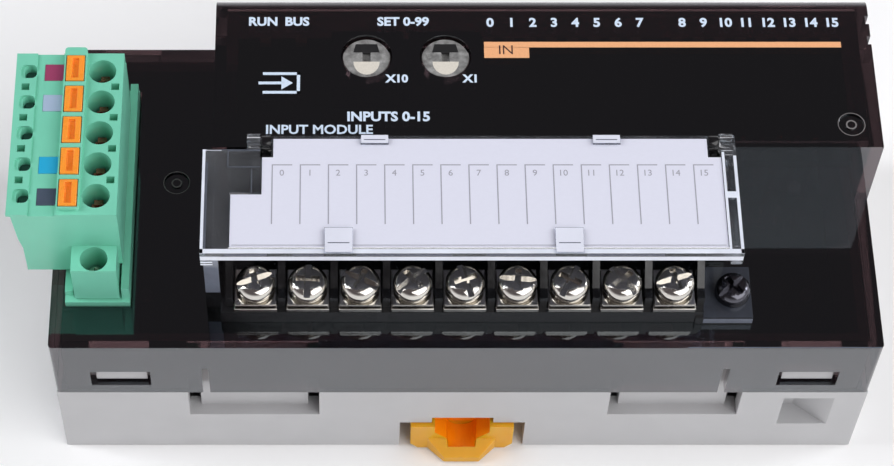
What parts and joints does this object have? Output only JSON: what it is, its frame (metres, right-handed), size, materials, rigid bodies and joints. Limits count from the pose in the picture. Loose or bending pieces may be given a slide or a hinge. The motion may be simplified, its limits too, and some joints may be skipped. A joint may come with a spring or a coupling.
{
  "type": "rail-mounted remote input module",
  "caption": "Remote input module for a top-hat rail: grey base, smoked cover, two-step screw terminal block under a clear flap, address dials and a green bus plug.",
  "frame": {"origin": "centre of the raised seat on the back that rests on the rail's flanges", "axes": "+X along the rail to the right of the reader, +Y across the rail to the rear long side with the dials, +Z away from the rail"},
  "size_m": [0.1197, 0.0529, 0.0469],
  "materials": {
    "grey_plastic": "fine matt light grey moulding",
    "smoked_plastic": "glossy smoked translucent moulding",
    "circuit_board": "green solder mask",
    "gold_contact": "gold flash",
    "chip_black": "moulded epoxy",
    "chip_white": "white moulded epoxy",
    "capacitor_can": "satin can",
    "lamp_clear": "clear lens",
    "switch_grey": "dark grey moulding",
    "black_plastic": "glossy black moulding",
    "green_plastic": "satin green moulding",
    "tin_contact": "tin plate",
    "yellow_plastic": "satin yellow moulding",
    "dial_silver": "light silver-grey moulding",
    "nickel": "bright nickel plate",
    "black_steel": "black passivated steel",
    "clear_plastic": "clear polished moulding",
    "label_card": "white card",
    "spring_steel": "spring steel",
    "marker_red": "satin red",
    "marker_white": "satin pale blue-white",
    "marker_blue": "satin blue",
    "marker_black": "satin slate",
    "orange_plastic": "satin orange moulding"
  },
  "bodies": {
    "housing": {"base_case": "grey_plastic", "front_cover": "smoked_plastic", "main_board": "circuit_board", "display_board": "circuit_board", "board_link_pins": "gold_contact", "controller_chip": "chip_black", "network_chip": "chip_black", "photocouplers": "chip_white", "filter_capacitors": "capacitor_can", "status_lamps": "lamp_clear", "input_lamps": "lamp_clear", "switch_body_x10": "switch_grey", "switch_body_x1": "switch_grey", "block_socket": "black_plastic", "header_shroud": "green_plastic", "header_pins": "tin_contact"},
    "rail_lock": {"rail_lock": "yellow_plastic"},
    "dial_x10": {"address_dial_x10": "dial_silver"},
    "dial_x1": {"address_dial_x1": "dial_silver"},
    "terminal_block": {"block_body": "black_plastic", "block_contacts": "gold_contact", "lower_terminal_plates": "nickel", "upper_terminal_plates": "nickel", "lower_washers": "nickel", "upper_washers": "nickel", "lower_spring_washers": "nickel", "upper_spring_washers": "nickel", "lower_terminal_screws": "nickel", "upper_terminal_screws": "nickel", "fixing_screw_left": "black_steel", "fixing_screw_right": "black_steel"},
    "terminal_cover": {"terminal_cover": "clear_plastic", "label_card": "label_card"},
    "plug": {"plug_body": "green_plastic", "plug_contacts": "gold_contact", "clamp_springs": "spring_steel", "plug_screws": "nickel", "marker_red": "marker_red", "marker_white": "marker_white", "marker_blue": "marker_blue", "marker_black": "marker_black"},
    "lever_1": {"release_lever_1": "orange_plastic"},
    "lever_2": {"release_lever_2": "orange_plastic"},
    "lever_3": {"release_lever_3": "orange_plastic"},
    "lever_4": {"release_lever_4": "orange_plastic"},
    "lever_5": {"release_lever_5": "orange_plastic"}
  },
  "joints": [
    {"name": "rail_lock_slide", "type": "slide", "parent": "housing", "child": "rail_lock", "axis": [0, -1, 0], "range_m": [0, 0.0035], "stiffness_N_per_m": 400, "springref_m": -0.001},
    {"name": "dial_x10_turn", "type": "hinge", "parent": "housing", "child": "dial_x10", "pos_m": [-0.0136, 0.0144, 0.038], "axis": [0, 0, 1], "continuous": true},
    {"name": "dial_x1_turn", "type": "hinge", "parent": "housing", "child": "dial_x1", "pos_m": [-0.0025, 0.0144, 0.038], "axis": [0, 0, 1], "continuous": true},
    {"name": "terminal_block_lift", "type": "slide", "parent": "housing", "child": "terminal_block", "axis": [0, 0, 1], "range_m": [0, 0.012]},
    {"name": "terminal_cover_hinge", "type": "hinge", "parent": "terminal_block", "child": "terminal_cover", "pos_m": [0, -0.00135, 0.03965], "axis": [-1, 0, 0], "range_deg": [0, 105]},
    {"name": "plug_pull", "type": "slide", "parent": "housing", "child": "plug", "axis": [0, 0, 1], "range_m": [0, 0.014]},
    {"name": "release_lever_1_press", "type": "slide", "parent": "plug", "child": "lever_1", "axis": [0, 0, -1], "range_m": [0, 0.0015], "stiffness_N_per_m": 1000},
    {"name": "release_lever_2_press", "type": "slide", "parent": "plug", "child": "lever_2", "axis": [0, 0, -1], "range_m": [0, 0.0015], "stiffness_N_per_m": 1000},
    {"name": "release_lever_3_press", "type": "slide", "parent": "plug", "child": "lever_3", "axis": [0, 0, -1], "range_m": [0, 0.0015], "stiffness_N_per_m": 1000},
    {"name": "release_lever_4_press", "type": "slide", "parent": "plug", "child": "lever_4", "axis": [0, 0, -1], "range_m": [0, 0.0015], "stiffness_N_per_m": 1000},
    {"name": "release_lever_5_press", "type": "slide", "parent": "plug", "child": "lever_5", "axis": [0, 0, -1], "range_m": [0, 0.0015], "stiffness_N_per_m": 1000}
  ]
}
